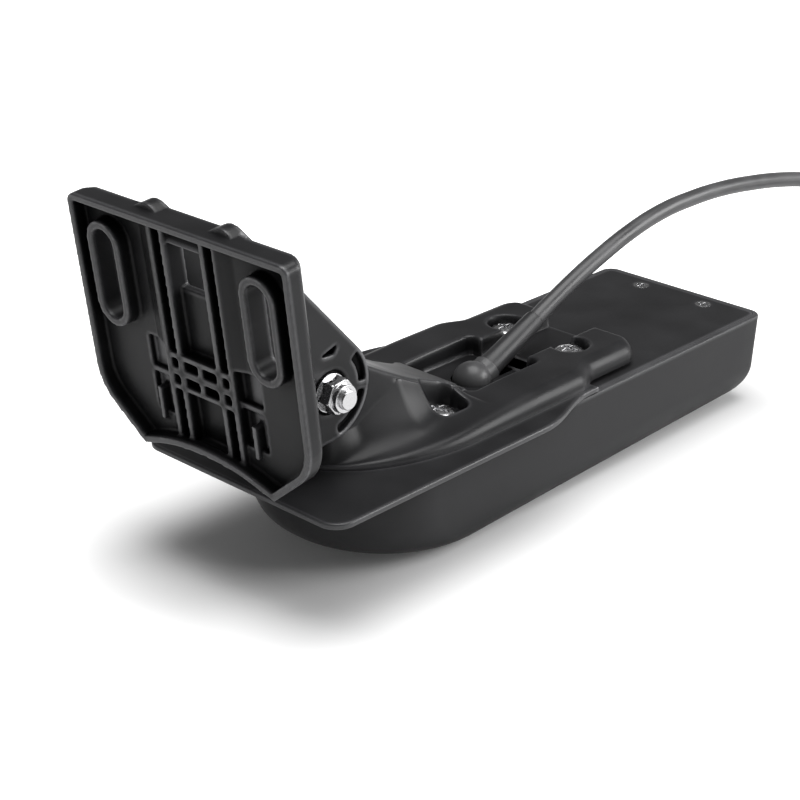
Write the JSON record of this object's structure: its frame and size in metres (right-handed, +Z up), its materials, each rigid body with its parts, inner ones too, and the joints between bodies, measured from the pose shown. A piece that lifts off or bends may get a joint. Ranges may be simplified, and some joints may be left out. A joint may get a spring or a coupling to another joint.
{
  "type": "sonar transducer",
  "caption": "Boat sonar transducer: long sealed tub under a saddle with a spray flange, hung from a slotted transom bracket on a kick-up pivot, with a cable and locking-ring connector.",
  "frame": {"origin": "on the tub's flat underside, on the middle plane, below the cable gland's trough", "axes": "+X points aft along the tub, +Y to starboard, +Z up; the tub stands on Z = 0"},
  "size_m": [0.5061, 0.1171, 0.1217],
  "materials": {
    "tub": "satin moulded black plastic",
    "saddle": "fine-grained black glass-filled nylon",
    "bracket": "fine-grained black glass-filled nylon",
    "carrier": "moulded dark grey plastic",
    "connector": "moulded black plastic",
    "nylon": "natural nylon",
    "seal": "matt sealing rubber",
    "boot": "soft satin rubber",
    "cable": "satin cable jacket",
    "coil": "satin cable jacket, wound up",
    "tie": "matt tie band",
    "pad": "cork and rubber backing",
    "element": "fired ceramic",
    "board": "green laminate",
    "steel": "bright stainless steel",
    "brass": "turned brass"
  },
  "bodies": {
    "transducer": {"tub": "tub", "deck_lid": "tub", "lid_gasket": "seal", "deck_screws": "steel", "element_carrier": "carrier", "down_element": "element", "side_elements": "element", "round_element": "element", "backing_pads": "pad", "circuit_board": "board", "board_components": "carrier", "temperature_sensor": "steel", "saddle": "saddle", "saddle_screws": "steel", "saddle_inserts": "brass", "cable_gland": "cable", "gland_seal": "seal", "gland_nut": "nylon", "strain_boot": "boot", "cable": "cable", "cable_coil": "coil", "coil_ties": "tie", "cable_tail": "cable", "connector_boot": "boot", "connector_body": "connector", "connector_ring": "connector", "connector_insert": "connector", "pivot_bush": "brass"},
    "bracket": {"bracket": "bracket", "pivot_bolt": "steel", "pivot_washers": "steel", "lock_nut": "steel", "nut_insert": "nylon"}
  },
  "joints": [
    {"name": "kick_up", "type": "hinge", "parent": "transducer", "child": "bracket", "pos_m": [-0.0894, 0, 0.0619], "axis": [0, 1, 0], "range_deg": [-10, 75]}
  ]
}
